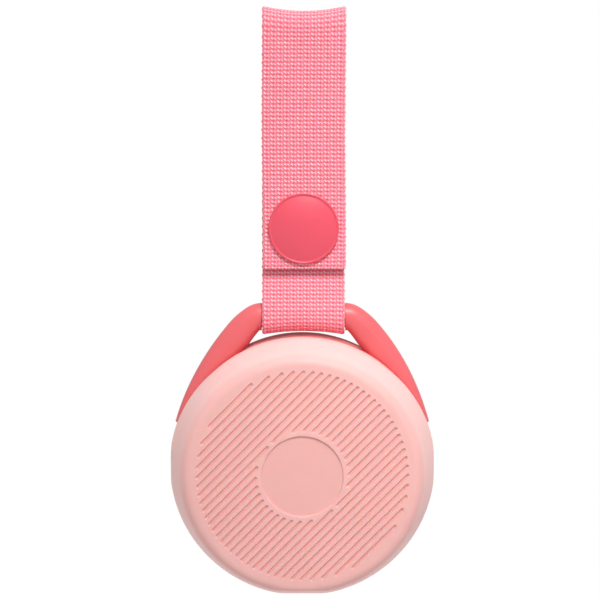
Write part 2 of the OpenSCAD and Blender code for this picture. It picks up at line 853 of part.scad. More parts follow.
module port_cover() {
    color(coral) hung() {
        translate([-port_cover_len / 2, port_y - port_cover_w / 2, -foot_flat])
            cube([port_cover_len / 2 + port_pin_x, port_cover_w, port_cover_t]);
        translate([port_pin_x, 0, port_pin_z]) disc(port_cover_t / 2, port_y - port_cover_w / 2, port_cover_w);
        translate([0, port_y, -foot_flat + port_cover_t - eps]) linear_extrude(1)
            slot(usb_w - 1.6, port_body_h - 1);
    }
}

// Leads, from the board up to the driver's basket, and from the battery's end to the board.
speaker_route = [
    [0.49 * board_r, board_y + 3, -0.37 * board_r], [0.55 * board_r, board_y + 6.2, -0.34 * board_r],
    [magnet_r + 5, board_y + 10.2, -9],
    [magnet_r + 4.5, basket_knee_y - 2.6, -7], [magnet_r + 3.8, basket_knee_y - 0.5, -6]
];
battery_route = [
    [-4, floor_y + 5.5, 0.7], [-5, floor_y + 7.4, -0.2], [-6, board_y + 2, -1.2], [-6, board_y + 2.6, -4.5]
];
lead_r = 0.55;

function tube_ring(p, d, r, n = 8) = let (
    side = cross(d, [1, 0, 0]) / norm(cross(d, [1, 0, 0])),
    up = cross(side, d) / norm(cross(side, d))
) [for (k = [0 : n - 1]) p + r * (cos(360 * k / n) * side + sin(360 * k / n) * up)];

module lead(route) {
    last = len(route) - 1;
    loft([for (k = [0 : last])
        tube_ring(route[k], route[min(k + 1, last)] - route[max(k - 1, 0)], lead_r)]);
}

module speaker_lead() {
    color([0.75, 0.1, 0.1]) hung() for (dx = [0, 1.6]) translate([dx, 0, 0]) lead(speaker_route);
}

module battery_lead() {
    color([0.75, 0.1, 0.1]) hung() for (dx = [0, 1.6]) translate([dx, 0, 0]) lead(battery_route);
}

// The strap's side view is drawn in y and z and given the webbing's width.
module across(w = webbing_w) {
    rotate([90, 0, 90]) translate([0, 0, -w / 2]) linear_extrude(w) children();
}

// A straight run of webbing between two points of its middle line, with round ends.
module run(p, q, t = webbing_t) {
    d = q - p;
    translate(p) rotate(atan2(d[1], d[0])) translate([0, -t / 2]) square([norm(d), t]);
    translate(p) circle(d = t, $fn = 24);
    translate(q) circle(d = t, $fn = 24);
}

module bend(c, r_mid, a1, a2) {
    translate(c) sector(r_mid - webbing_t / 2, r_mid + webbing_t / 2, a1, a2);
}

spread_z = snap_z - sewn_bottom;

module strap_webbing() {
    color(webbing_pink) difference() {
        across() {
            // Fold over the rail, open towards the flap.
            bend([0, fold_z], fold_mid, 0, 180);
            run([fold_mid, fold_z], [back_y, fold_z - closing_len]);
            run([back_y, fold_z - closing_len], [back_y, spread_z]);
            run([back_y, spread_z], [bar_loop_mid, bar_z + 2.2]);
            bend([0, bar_z], bar_loop_mid, -180, 0);
            run([bar_loop_mid, bar_z + 2.2], [bar_loop_mid, bar_z]);
            run([-bar_loop_mid, bar_z + 2.2], [-bar_loop_mid, bar_z]);
            run([-bar_loop_mid, bar_z + 2.2], [sewn_y, spread_z]);
            run([sewn_y, spread_z], [sewn_y, snap_z + sewn_top]);
        }
        translate([0, 0, snap_z]) disc(post_d / 2 + seat_gap, -10, 20);
    }
}

module strap_flap() {
    top = fold_z - flap_hinge_gap;
    color(webbing_pink) difference() {
        across() translate([flap_front, snap_z - flap_tail])
            square([webbing_t, top - snap_z + flap_tail]);
        translate([0, 0, snap_z]) disc(post_d / 2 + seat_gap, flap_front - 1, webbing_t + 2);
    }
}

// The cap is a shallow dome with a thin raised rim, and its post goes through the flap.
module snap_cap() {
    dome_r = (pow(cap_d / 2 - 1, 2) + pow(cap_h - 0.9, 2)) / (2 * (cap_h - 0.9));
    color(coral) translate([0, flap_front, snap_z]) {
        ring(cap_d / 2 - 1.1, cap_d / 2, -1.3, 1.3);
        disc(cap_d / 2 - 1, -0.9, 0.9);
        intersection() {
            translate([0, dome_r - cap_h, 0]) sphere(r = dome_r, $fn = 144);
            disc(cap_d / 2 - 1, -cap_h, cap_h);
        }
        disc(post_d / 2, -eps, webbing_t + 0.4 + eps);
    }
}

socket_bore_r = stud_d / 2 + 0.15;

module snap_socket() {
    color(coral) translate([0, flap_back, snap_z]) difference() {
        union() {
            disc(socket_d / 2, 0, socket_h);
            disc(socket_d / 2 - 1.4, socket_h - eps, 0.3);
        }
        disc(post_d / 2 + seat_gap, -1, 3);
        disc(socket_bore_r, 0.5, socket_h + 1);
    }
}

module snap_stud() {
    stud_y = sewn_front - stud_flange_t;
    color(coral) translate([0, 0, snap_z]) difference() {
        union() {
            disc(socket_d / 2 - 0.4, stud_y, stud_flange_t);
            disc(stud_d / 2 - 0.35, stud_y - stud_h * 0.4, stud_h * 0.4 + eps);
            translate([0, stud_y - stud_h, 0]) disc(stud_d / 2, 0, stud_h * 0.6);
        }
        disc(post_d / 2 - 0.2, stud_y - stud_h + 0.5, 10);
    }
}

module snap_rivet() {
    color(coral) translate([0, 0, snap_z]) {
        disc(socket_d / 2, webbing_t, 0.8);
        disc(post_d / 2 - 0.3, sewn_front - stud_flange_t, webbing_t - sewn_front + stud_flange_t + eps);
    }
}

rear_cover();
front_housing();
strap_yoke();
housing_gasket();
housing_screws();
grille();
grille_cloth();
light_ring();
led_board();
led_chips();
driver_baffle();
driver_basket();
driver_magnet();
driver_pole_piece();
driver_cone();
driver_surround();
dust_cap();
voice_coil();
driver_spider();
driver_gasket();
driver_screws();
battery_pack();
battery_pad();
main_board();
board_chips();
board_screws();
usb_port();
key_flex();
tact_switches();
status_light();
power_button();
pairing_button();
light_button();
volume_up_button();
play_button();
volume_down_button();
port_cover();
speaker_lead();
battery_lead();
strap_webbing();
strap_flap();
snap_cap();
snap_socket();
snap_stud();
snap_rivet();
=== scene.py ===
import json
import math

import bpy
import bmesh
import numpy as np
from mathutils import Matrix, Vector


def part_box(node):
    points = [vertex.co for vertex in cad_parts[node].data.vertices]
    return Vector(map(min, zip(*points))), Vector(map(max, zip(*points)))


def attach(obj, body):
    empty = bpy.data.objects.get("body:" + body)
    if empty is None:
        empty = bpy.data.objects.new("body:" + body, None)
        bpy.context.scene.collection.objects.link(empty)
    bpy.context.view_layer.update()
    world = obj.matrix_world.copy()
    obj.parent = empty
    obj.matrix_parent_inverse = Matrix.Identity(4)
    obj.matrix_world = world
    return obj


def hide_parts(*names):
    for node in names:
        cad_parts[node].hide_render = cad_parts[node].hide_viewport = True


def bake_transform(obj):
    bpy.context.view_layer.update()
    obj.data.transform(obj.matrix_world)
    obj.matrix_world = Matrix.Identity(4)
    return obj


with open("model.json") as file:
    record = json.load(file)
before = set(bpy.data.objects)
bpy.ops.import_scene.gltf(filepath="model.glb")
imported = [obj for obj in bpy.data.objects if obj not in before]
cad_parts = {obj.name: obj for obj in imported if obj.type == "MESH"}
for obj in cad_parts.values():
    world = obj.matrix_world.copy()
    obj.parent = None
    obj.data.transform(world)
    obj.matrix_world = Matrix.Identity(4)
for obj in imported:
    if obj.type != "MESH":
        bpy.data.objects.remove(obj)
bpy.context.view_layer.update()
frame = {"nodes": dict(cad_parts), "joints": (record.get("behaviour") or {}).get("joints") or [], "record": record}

# Lengths are millimetres up to the point where a mesh is made, and metres in it.
MM = 0.001
TAU = 2 * math.pi
scene = bpy.context.scene


def corner(node, end):
    """A CAD node's lowest (0) or highest (1) corner, in millimetres."""
    return np.array(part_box(node)[end]) / MM


def joint_place(name):
    """A joint's anchor in millimetres."""
    return np.array(next(j["pos_m"] for j in frame["joints"] if j["name"] == name)) / MM


# ---------------------------------------------------------------- sizes of the object
# The strap: its section, its fold over the rail, its loop round the bar and the runs between them.
WEB_W = corner("strap_webbing", 1)[0] - corner("strap_webbing", 0)[0]
WEB_T = 1.5
HALF_W = WEB_W / 2
FOLD_MID, FOLD_Z = 4.75, -4.0
BAR_R, BAR_MID, BAR_Z = 3.8, 4.8, joint_place("housing_swing")[2]
SNAP_Z = (corner("snap_cap", 0)[2] + corner("snap_cap", 1)[2]) / 2
CAP_FACE_Y = corner("strap_flap", 0)[1]
FLAP_END_Z = corner("strap_flap", 0)[2]
BACK_Y, SEWN_Y = 0.75, -0.85
SEWN_TOP = 13.0
SPREAD_Z = SNAP_Z - 9.0
CLOSED_Z = FOLD_Z - 50.0

# The housing, about its centre: the body's circle, its flats, the lower crown and the flat rear face.
COVER_LOW = corner("rear_cover", 0)
REAR_Y, SPLIT_Y = COVER_LOW[1], -4.25
BODY_R, CROWN_R, FACE_R = 42.0, 41.1, 35.0
SIDE_FLAT, FOOT_FLAT = 41.68, 40.2
RAMP_START, RAMP_END = 17.0, 48.0
BODY_Z = COVER_LOW[2] + FOOT_FLAT
WALL = 2.0

# The band and the bar of the carrying loop.
BAND_R, BAND_T, BAND_W = 41.05, 3.75, 8.5
BAR_RISE = BAR_Z - BODY_Z
BAR_HALF = 14.0


# ---------------------------------------------------------------- mesh helpers
def grid(rows, cols, close_rows=False, close_cols=False):
    """Quads over a grid of points, numbered row by row. A closed way joins its last line to its first."""
    i = np.arange(rows if close_rows else rows - 1)
    j = np.arange(cols if close_cols else cols - 1)
    i, j = np.meshgrid(i, j, indexing="ij")
    i2, j2 = (i + 1) % rows, (j + 1) % cols
    quads = np.stack([i * cols + j, i * cols + j2, i2 * cols + j2, i2 * cols + j], axis=-1)
    return quads.reshape(-1, 4)


def tube_faces(rows, cols):
    """The faces of a closed section carried along a line: its side, and a cap at either end."""
    last = (rows - 1) * cols
    return [grid(rows, cols, close_cols=True).tolist(), list(range(cols)), list(range(last, last + cols))]


def shell(name, points, faces, numbers=None):
    """A closed object from points in millimetres, its faces outwards. Each entry of faces is a polygon
    or a list of them. numbers holds a value for each point under the name of each attribute."""
    mesh = bpy.data.meshes.new(name)
    flat = []
    for f in faces:
        flat.extend(f if isinstance(f[0], list) else [f])
    mesh.from_pydata((points * MM).tolist(), [], flat)
    mesh.polygons.foreach_set("use_smooth", np.ones(len(mesh.polygons), dtype=bool))
    for key, values in (numbers or {}).items():
        layer = mesh.attributes.new(key, "FLOAT", "POINT")
        layer.data.foreach_set("value", values.astype(np.float32))
    obj = bpy.data.objects.new(name, mesh)
    scene.collection.objects.link(obj)
    tidy_shell(obj)
    return obj


def piece(name, points, faces, body, finish, stands_for=(), smooth_angle=None, numbers=None):
    """A new visible piece with its finish and slot, which rides a body where one is named."""
    obj = shell(name, points, faces, numbers)
    mesh = obj.data
    mesh.materials.append(finish)
    if smooth_angle:
        mesh.set_sharp_from_angle(angle=math.radians(smooth_angle))
    if body:
        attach(obj, body)
    if stands_for:
        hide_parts(*stands_for)
    return obj


def tidy_shell(obj, merge=0.002):
    """Welds doubled points and turns every shell of the mesh outwards."""
    bm = bmesh.new()
    bm.from_mesh(obj.data)
    bmesh.ops.remove_doubles(bm, verts=bm.verts, dist=merge * MM)
    bmesh.ops.dissolve_degenerate(bm, edges=bm.edges, dist=1e-8)
    bmesh.ops.recalc_face_normals(bm, faces=bm.faces)
    bm.to_mesh(obj.data)
    bm.free()


def ease(x):
    """The smooth step 3x^2 - 2x^3, held at 0 and 1 outside its range."""
    x = np.clip(x, 0, 1)
    return x * x * (3 - 2 * x)


def soft_min(a, b, k):
    """The smaller of a and b, with the corner between them rounded over k."""
    h = np.clip(0.5 + 0.5 * (b - a) / k, 0, 1)
    return b * (1 - h) + a * h - k * h * (1 - h)


def bump(x, width):
    """A bell curve of height 1 and the given half width."""
    return np.exp(-((x / width) ** 2))


# ---------------------------------------------------------------- shader arithmetic
class Value:
    """A shader socket. Arithmetic on it adds Math nodes, in either order."""

    def __init__(self, finish, socket):
        self.finish, self.socket = finish, socket

    def maths(self, operation, *parts):
        return self.finish.node("Math", {"operation": operation}, dict(enumerate(parts)))

    def __add__(self, other):
        return self.maths("ADD", self, other)

    def __mul__(self, other):
        return self.maths("MULTIPLY", self, other)

    def __sub__(self, other):
        return self.maths("SUBTRACT", self, other)

    def __rsub__(self, other):
        return self.maths("SUBTRACT", other, self)

    def __truediv__(self, other):
        return self.maths("DIVIDE", self, other)

    __radd__, __rmul__ = __add__, __mul__

    def sine(self):
        return self.maths("SINE", self)

    def or_more(self, other):
        """The larger of this value and the other."""
        return self.maths("MAXIMUM", self, other)

    def wrapped(self):
        """The value's distance from the nearest whole number, from -0.5 to 0.5."""
        return self.maths("FRACT", self + 0.5) - 0.5

    def over(self, edge, soft):
        """0 below edge and 1 above edge + soft, eased between."""
        return self.finish.node("MapRange", {"interpolation_type": "SMOOTHSTEP"}, {
            0: self, 1: edge, 2: edge + soft, 3: 0.0, 4: 1.0})

    def out(self, name):
        """Another of the same node's outputs, by name or number."""
        return Value(self.finish, self.socket.node.outputs[name])


class Finish:
    """A material under construction: its nodes, its shader and its coordinates."""

    def __init__(self, name):
        self.material = bpy.data.materials.new(name)
        self.material.use_nodes = True
        self.tree = self.material.node_tree
        self.tree.nodes.clear()
        self.surface = self.node("BsdfPrincipled")
        self.output = self.tree.nodes.new("ShaderNodeOutputMaterial")
        self.show(self.surface)

    def feed(self, socket, value):
        """Links a value to an input socket, or sets the socket to a constant."""
        if isinstance(value, Value):
            self.tree.links.new(value.socket, socket)
        else:
            socket.default_value = value

    def node(self, kind, settings=None, sockets=None):
        """Adds a node: its settings first, then the values or links of its sockets."""
        made = self.tree.nodes.new("ShaderNode" + kind)
        for key, value in (settings or {}).items():
            setattr(made, key, value)
        for key, value in (sockets or {}).items():
            self.feed(made.inputs[key], value)
        return Value(self, made.outputs[0])

    def set(self, **sockets):
        """Values or links for the shader's own sockets, with _ for a blank in a name."""
        for key, value in sockets.items():
            self.feed(self.surface.socket.node.inputs[key.replace("_", " ")], value)

    def show(self, shader):
        """Makes a shader the material's surface."""
        self.feed(self.output.inputs["Surface"], shader)

    def attribute(self, name):
        """A number stored at the mesh's points."""
        return self.node("Attribute", {"attribute_name": name}).out("Fac")

    def place(self):
        """Object coordinates, in metres in the object's own frame."""
        return self.node("TexCoord").out("Object")

    def noise(self, size, detail=3.0, rough=0.5, at=None):
        """Cloudy noise from 0 to 1 with features of the given size in millimetres."""
        return self.node("TexNoise", {}, {
            "Vector": at or self.place(), "Scale": 1 / (size * MM), "Detail": detail, "Roughness": rough})

    def mix(self, share, a, b):
        """Colour a where share is 0 and colour b where it is 1."""
        return self.node("Mix", {"data_type": "RGBA"}, {0: share, 6: a, 7: b}).out(2)

    def raise_by(self, height, depth):
        """A bump whose height of 1 stands for the given depth in millimetres."""
        return self.node("Bump", {}, {"Height": height, "Distance": depth * MM, "Strength": 1.0})


def srgb(r, g, b):
    """A colour given as it shows on a screen, from 0 to 255, in linear light."""
    c = np.array([r, g, b]) / 255
    lin = np.where(c <= 0.04045, c / 12.92, ((c + 0.055) / 1.055) ** 2.4)
    return (*lin.tolist(), 1.0)


def shade(colour, factor):
    """A colour made darker or lighter by a factor, and held at 1."""
    return (*[min(1.0, c * factor) for c in colour[:3]], 1.0)


COVER = srgb(241, 184, 179)
# Painted shade: a darker pink for the cover's grooves and dish.
COVER_GROOVE_SHADE = srgb(236, 168, 162)
# Painted light: a lighter pink for the cover's shoulder, offsetting the shade there.
COVER_PAINTED_SHOULDER_LIGHT = srgb(251, 200, 196)
CORAL = srgb(224, 99, 103)
CAP = srgb(228, 79, 97)
# Webbing colours: the mid tone is the dye, the deep tone is painted shade for the pits and the light tone is a
# painted highlight for the stitches.
WEB_PIT_SHADE, WEB_MID, WEB_STITCH_HIGHLIGHT = srgb(234, 78, 98), srgb(253, 134, 152), srgb(255, 222, 228)
COPPER_PAD = (0.7, 0.55, 0.25, 1)


def moulded(name, colour, rough=0.5, grain=0.35, depth=0.012, drift=0.06, coat=0.0, sub=0.0, painted_groove_shade=None, crown=None):
    """Moulded plastic or rubber: a fine spark grain, a slow drift of tone and faint handling marks.
    The cover's grooves and dish take the colour hollow, which is painted shade, and its shoulder takes the colour
    crown, which is painted light that offsets its shade."""
    f = Finish(name)
    fine = f.noise(grain, 2.0)
    slow = f.noise(14.0, 2.0)
    marks = f.noise(2.6, 4.0, 0.65)
    tone = f.mix(slow.over(0.35, 0.3), shade(colour, 1 - drift), shade(colour, 1 + drift))
    if painted_groove_shade:
        # Painted shade darkens the grooves and dish, and painted light lightens the shoulder.
        tone = f.mix(f.attribute("shoulder"), f.mix(f.attribute("painted_groove_shade"), tone, painted_groove_shade), crown)
    f.set(Base_Color=tone, Roughness=(marks - 0.5) * 0.16 + rough, Normal=f.raise_by(fine, depth))
    if coat:
        f.set(Coat_Weight=coat, Coat_Roughness=0.25)
    if sub:
        f.set(Subsurface_Weight=sub, Subsurface_Scale=0.002)
    return f.material


def metal(name, colour, rough=0.3, brushed=0.05, grain=0.5):
    """Sheet or turned metal: a fine directional grain and cloudy roughness."""
    f = Finish(name)
    stretch = f.node("Mapping", {}, {"Vector": f.place(), "Scale": (1.0, 1.0, 9.0)})
    fine = f.noise(grain, 3.0, 0.6, stretch)
    cloud = f.noise(4.0, 2.0)
    f.set(Base_Color=f.mix(cloud, shade(colour, 0.9), shade(colour, 1.05)), Metallic=1.0,
          Roughness=(fine - 0.5) * 0.25 + rough, Normal=f.raise_by(fine, brushed * 0.1))
    return f.material


def board(name, colour, line, pitch=1.7):
    """A circuit board: solder mask over faint tracks, with a speckle of vias."""
    f = Finish(name)
    at = f.place()
    cells = f.node("TexVoronoi", {"feature": "F1", "distance": "CHEBYCHEV"}, {
        "Vector": at, "Scale": 1 / (pitch * MM)})
    wave = f.node("TexWave", {"bands_direction": "DIAGONAL"}, {
        "Vector": at, "Scale": 1 / (9 * MM), "Distortion": 1.0})
    vias, tracks = 1 - cells.over(0.10, 0.04), wave.over(0.6, 0.1)
    f.set(Base_Color=f.mix(vias, f.mix(tracks, colour, line), COPPER_PAD), Roughness=vias * -0.1 + 0.4,
          Normal=f.raise_by(tracks, 0.02))
    return f.material


def woven(name, colour, thread=0.35, depth=0.08, rough=0.9):
    """A close plain weave: two sets of threads crossing, each over and under, with painted shade where they dip and a
    painted highlight where they rise.
    """
    f = Finish(name)
    at = f.place()
    split = f.node("SeparateXYZ", {}, {0: at})
    turn = TAU / (thread * MM)
    across, up = (split.out("X") * turn).sine(), (split.out("Z") * turn).sine()
    height = across * up * 0.5 + 0.5
    # Painted shade and highlight: the colour is darker where the weave dips and lighter where it rises.
    f.set(Base_Color=f.mix(height, shade(colour, 0.6), shade(colour, 1.3)), Roughness=rough,
          Sheen_Weight=0.2, Normal=f.raise_by(height, depth))
    return f.material


# The weave's pitch across the webbing and along it.
COLUMN, ROW = 2.08, 1.29


def webbing_finish():
    """Polyester webbing. Every column has two slanted stitches in each row, lightened by a painted highlight,
    with painted shade in the pits between the rows; the stitches wander a little and the dye drifts."""
    f = Finish("webbing_weave")
    uv = f.node("UVMap", {"uv_map": "thread_mm"})
    split = f.node("SeparateXYZ", {}, {0: uv})
    stretched = f.node("VectorMath", {"operation": "MULTIPLY"}, {0: uv, 1: (0.0007, 0.0011, 0.0)})
    sway = f.noise(1.0, 2.0, 0.5, stretched)
    column = (split.out("X") + (sway - 0.5) * 0.5) / COLUMN
    row = (split.out("Y") + (sway - 0.5) * 0.35) / ROW

    def stitch(at_column, at_row, lean, length, width):
        """1 inside a leaning oval that repeats in every column and row, and 0 outside it."""
        dx, dy = (column - at_column).wrapped() * COLUMN, (row - at_row).wrapped() * ROW
        c, s = math.cos(math.radians(lean)), math.sin(math.radians(lean))
        along, across = (dx * c + dy * s) / length, (dy * c - dx * s) / width
        return 1 - (along * along + across * across).over(0.15, 0.85)

    stitch_highlight_mask = stitch(0.22, 0.40, 42, 0.62, 0.27).or_more(stitch(0.70, 0.52, 32, 0.50, 0.22))
    pit_shade_mask = stitch(0.46, 0.98, 16, 0.58, 0.30).or_more(stitch(0.96, 0.06, 25, 0.34, 0.22))
    dye = f.noise(9.0, 2.0)
    # Painted shade darkens the pits and a painted highlight lightens the stitches; the same masks shape the bump.
    tone = f.mix(pit_shade_mask * 0.85, WEB_MID, WEB_PIT_SHADE)
    tone = f.mix(stitch_highlight_mask * (0.62 + sway * 0.5), tone, WEB_STITCH_HIGHLIGHT)
    tone = f.mix(dye * 0.18, tone, shade(WEB_MID, 0.9))
    f.set(Base_Color=tone, Roughness=sway * 0.2 + 0.6, Sheen_Weight=0.25, Sheen_Roughness=0.45,
          Sheen_Tint=srgb(255, 214, 224), Subsurface_Weight=0.3, Subsurface_Scale=0.002,
          Normal=f.raise_by(stitch_highlight_mask - pit_shade_mask * 0.7, 0.10))
    return f.material


def light_pipe(name, colour):
    """Clear or milky plastic that carries light."""
    f = Finish(name)
    haze = f.noise(3.0, 2.0)
    f.set(Base_Color=f.mix(haze, shade(colour, 0.94), colour), Roughness=haze * 0.1 + 0.3,
          Subsurface_Weight=0.3, Subsurface_Scale=0.002, Normal=f.raise_by(f.noise(0.8), 0.01))
    return f.material


FINISHES = {
    "cover_pink": moulded("cover_soft_pink", COVER, 0.55, 0.4, 0.008, 0.012, sub=0.2,
                          painted_groove_shade=COVER_GROOVE_SHADE, crown=COVER_PAINTED_SHOULDER_LIGHT),
    "housing_pink": moulded("housing_soft_pink", srgb(244, 180, 176), 0.55, 0.4, 0.008, 0.012),
    "coral_plastic": moulded("coral_hard_plastic", CORAL, 0.38, 0.4, 0.004, 0.02),
    "coral_rubber": moulded("coral_soft_rubber", CORAL, 0.5, 0.3, 0.008, 0.02),
    "port_rubber": moulded("port_pink_rubber", srgb(238, 150, 143), 0.5, 0.3, 0.008, 0.02),
    "webbing": webbing_finish(),
    "snap_plastic": moulded("snap_coral_acetal", CAP, 0.34, 0.3, 0.003, 0.02),
    "grille_metal": metal("grille_coral_steel", srgb(232, 96, 104), 0.4),
    "cloth_dark": woven("grille_cloth_black", (0.02, 0.02, 0.022, 1)),
    "diffuser": light_pipe("ring_milky_acrylic", srgb(250, 244, 238)),
    "board_white": board("light_board_white", srgb(235, 236, 232), srgb(214, 216, 212), 2.4),
    "board_green": board("main_board_green", srgb(30, 92, 62), srgb(44, 122, 82)),
    "flex_amber": board("key_flex_amber", srgb(196, 128, 48), srgb(150, 88, 36), 3.0),
    "chip_black": moulded("chip_black_resin", srgb(34, 34, 37), 0.6, 0.15, 0.01, 0.1),
    "led_yellow": light_pipe("led_phosphor", srgb(246, 222, 110)),
    "steel": metal("zinc_steel", srgb(196, 198, 202), 0.32),
    "frame_black": moulded("baffle_black_abs", srgb(40, 40, 43), 0.6, 0.5, 0.02, 0.08),
    "basket_steel": metal("basket_stamped_steel", srgb(120, 121, 126), 0.42),
    "ferrite": moulded("ferrite_grey", srgb(62, 60, 64), 0.7, 0.25, 0.02, 0.12),
    "cone_paper": moulded("cone_pressed_paper", srgb(38, 37, 40), 0.85, 0.6, 0.06, 0.15),
    "rubber_black": moulded("seal_black_rubber", srgb(30, 30, 32), 0.65, 0.3, 0.02, 0.08),
    "copper_wire": metal("coil_copper", srgb(206, 128, 82), 0.3, 0.3, 0.2),
    "spider_cloth": woven("spider_resin_cloth", srgb(214, 176, 104), 0.5, 0.1),
    "battery_foil": metal("battery_pouch_foil", srgb(186, 190, 198), 0.45, 0.4, 1.2),
    "foam_grey": moulded("pad_grey_foam", srgb(84, 84, 88), 0.95, 0.5, 0.15, 0.15),
    "light_pipe": light_pipe("status_clear_pipe", srgb(236, 242, 246)),
    "lead_red": moulded("lead_red_pvc", srgb(176, 40, 38), 0.45, 0.4, 0.01, 0.05, coat=0.2),
}

record_parts = {s["node"]: s["material_slot"] for s in frame["record"]["subparts"]}
for node_name, node_obj in frame["nodes"].items():
    node_obj.data.materials.clear()
    node_obj.data.materials.append(FINISHES[record_parts[node_name]])


# ---------------------------------------------------------------- the webbing strap
PICK = 2 * ROW
LINE_STEP = 0.26
FRONT_POINTS, BACK_POINTS, EDGE_POINTS = 124, 34, 5


def strap_line(step):
    """The strap's middle line in the Y-Z plane: down the sewn end, round the bar, up the back, over the
    fold and down the flap. Straight runs and arcs are joined, eased by a short moving average and
    cut into equal steps. Returns the points and the index where the back run reaches the fold."""
    def arc(cz, r, a0, a1):
        a = np.radians(np.linspace(a0, a1, 200))
        return np.stack([r * np.cos(a), cz + r * np.sin(a)], axis=1)

    rough = np.concatenate([
        [[SEWN_Y, SNAP_Z + SEWN_TOP], [SEWN_Y, SPREAD_Z], [-BAR_MID, BAR_Z + 2.2]],
        arc(BAR_Z, BAR_MID, 180, 360),
        [[BAR_MID, BAR_Z + 2.2], [BACK_Y, SPREAD_Z], [BACK_Y, CLOSED_Z]],
        arc(FOLD_Z, FOLD_MID, 0, 180),
        [[-FOLD_MID, FLAP_END_Z]]])

    def even(line, gap):
        """The line again, with its points a gap apart."""
        s = np.concatenate([[0], np.cumsum(np.linalg.norm(np.diff(line, axis=0), axis=1))])
        t = np.linspace(0, s[-1], int(round(s[-1] / gap)) + 1)
        return np.stack([np.interp(t, s, line[:, k]) for k in (0, 1)], axis=1)

    fine = even(rough, 0.05)
    reach = 30  # points on each side that the moving average takes in
    kernel = np.hanning(2 * reach + 3)[1:-1]
    kernel /= kernel.sum()
    padded = np.concatenate([
        fine[0] + (fine[0] - fine[1]) * np.arange(reach, 0, -1)[:, None],
        fine,
        fine[-1] + (fine[-1] - fine[-2]) * np.arange(1, reach + 1)[:, None]])
    eased = np.stack([np.convolve(padded[:, k], kernel, "valid") for k in (0, 1)], axis=1)
    line = even(eased, step)
    back = np.where((line[:, 0] > 2) & (line[:, 1] < FOLD_Z))[0]
    return line, int(back[np.argmax(line[back, 1])])


def weave(x, s):
    """Height in millimetres of the weave at x across and s along: a low rib for every row, crossed by
    slighter columns that step sideways from row to row."""
    row = s / ROW - 0.42
    rib = 0.5 + 0.5 * np.cos(TAU * row)
    column = 0.5 + 0.5 * np.cos(TAU * 2 * (x / COLUMN - 0.08 * np.sin(TAU * row) - 0.2))
    return 0.10 * rib + 0.05 * column * rib - 0.08


def webbing_piece(name, line, s0, upper_end, lower_end, sideways):
    """A run of webbing: a closed section of front, selvedge, back and selvedge carried along a line.
    The weave's height moves the front and back along the line's outward side. The two lifts raise
    the run's edges against its middle, and sideways shifts it. Returns the piece and the length
    reached, counted from s0."""
    ahead = np.gradient(line, axis=0)
    ahead /= np.linalg.norm(ahead, axis=1)[:, None]
    outward = np.stack([ahead[:, 1], -ahead[:, 0]], axis=1)
    s = s0 + np.concatenate([[0], np.cumsum(np.linalg.norm(np.diff(line, axis=0), axis=1))])
    side = HALF_W - WEB_T / 2 + 0.1
    turn = np.radians(np.linspace(90, -90, EDGE_POINTS + 2))[1:-1]
    selvedge = WEB_T / 2 * 0.86 * np.cos(turn)
    front, back = np.linspace(-side, side, FRONT_POINTS), np.linspace(side, -side, BACK_POINTS)
    across = np.concatenate([front, side + selvedge, back, -side - selvedge])
    depth = np.concatenate([np.ones(FRONT_POINTS), np.sin(turn), -np.ones(BACK_POINTS), -np.sin(turn)]) * WEB_T / 2
    sx, ss = np.meshgrid(across, s)
    height = weave(sx, ss)
    facing = np.sign(depth) * (np.abs(depth) > WEB_T * 0.49)
    edge = np.abs(sx) > side
    scallop = (0.09 * np.cos(TAU * ss / PICK) + 0.05 * np.cos(TAU * ss / ROW)) * edge * np.sign(sx)
    flat = depth[None, :] + height * facing[None, :]
    u = (sx + scallop) / HALF_W
    x = sx + scallop + sideways(line)[:, None]
    lift = upper_end(line)[:, None] * u ** 2 + lower_end(line)[:, None] * (u ** 2 - 0.5)
    y = line[:, 0][:, None] + outward[:, 0][:, None] * flat
    z = line[:, 1][:, None] + outward[:, 1][:, None] * flat + lift
    points = np.stack([x, y, z], axis=-1).reshape(-1, 3)
    obj = piece(name, points, tube_faces(len(line), len(across)), None, FINISHES["webbing"])
    thread_uv(obj, sx, ss)
    return obj, s[-1]


def thread_uv(obj, sx, ss):
    """A UV map in millimetres across and along the webbing, read from the points' grid order."""
    mesh = obj.data
    layer = mesh.uv_layers.new(name="thread_mm")
    loops = np.empty(len(mesh.loops), dtype=np.int32)
    mesh.loops.foreach_get("vertex_index", loops)
    uv = np.stack([sx.ravel()[loops], ss.ravel()[loops]], axis=1)
    layer.data.foreach_set("uv", uv.astype(np.float32).ravel())


def no_lift(way):
    """The flap's free end is cut straight."""
    return np.zeros(len(way))


def loop_sag(way):
    """The corners of the loop round the bar hang a little lower than its middle."""
    return -1.1 * ease((BAR_Z + 2 - way[:, 1]) / 6)


def fold_lift(way):
    """The corners of the fold stand higher than its middle."""
    return 1.5 * ease((way[:, 1] + 9) / 9)


def strap_drift(way):
    """The worn strap hangs a little to one side."""
    return 0.55 - 0.2 * ease(-way[:, 1] / 35)


def flap_drift(way):
    """The snapped flap lies a little further over than the strap behind it."""
    return strap_drift(way) + 0.3 * ease((-way[:, 1] - 35) / 35)


line, cut = strap_line(LINE_STEP)
back_run, back_length = webbing_piece(
    "webbing_back_run", line[:cut + 1], 0.0, fold_lift, loop_sag, strap_drift)
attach(back_run, "strap")
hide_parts("strap_webbing")
flap_run, _ = webbing_piece(
    "webbing_flap", line[cut:], back_length, fold_lift, no_lift, flap_drift)
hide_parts("strap_flap")
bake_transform(flap_run)


# ---------------------------------------------------------------- the ribbed rear cover
# The grooves fill a circle and keep clear of the dish. The disc is the flat part of the face.
RIB_FIELD, RIB_PITCH, RIB_W, RIB_D = 32.6, 2.15, 0.9, 0.5
RIB_ANGLE = 45
DISH_R, DISH_D = 12.5, 0.6
KEEP_R = DISH_R + 1.5
DISC_R = FACE_R - 0.8

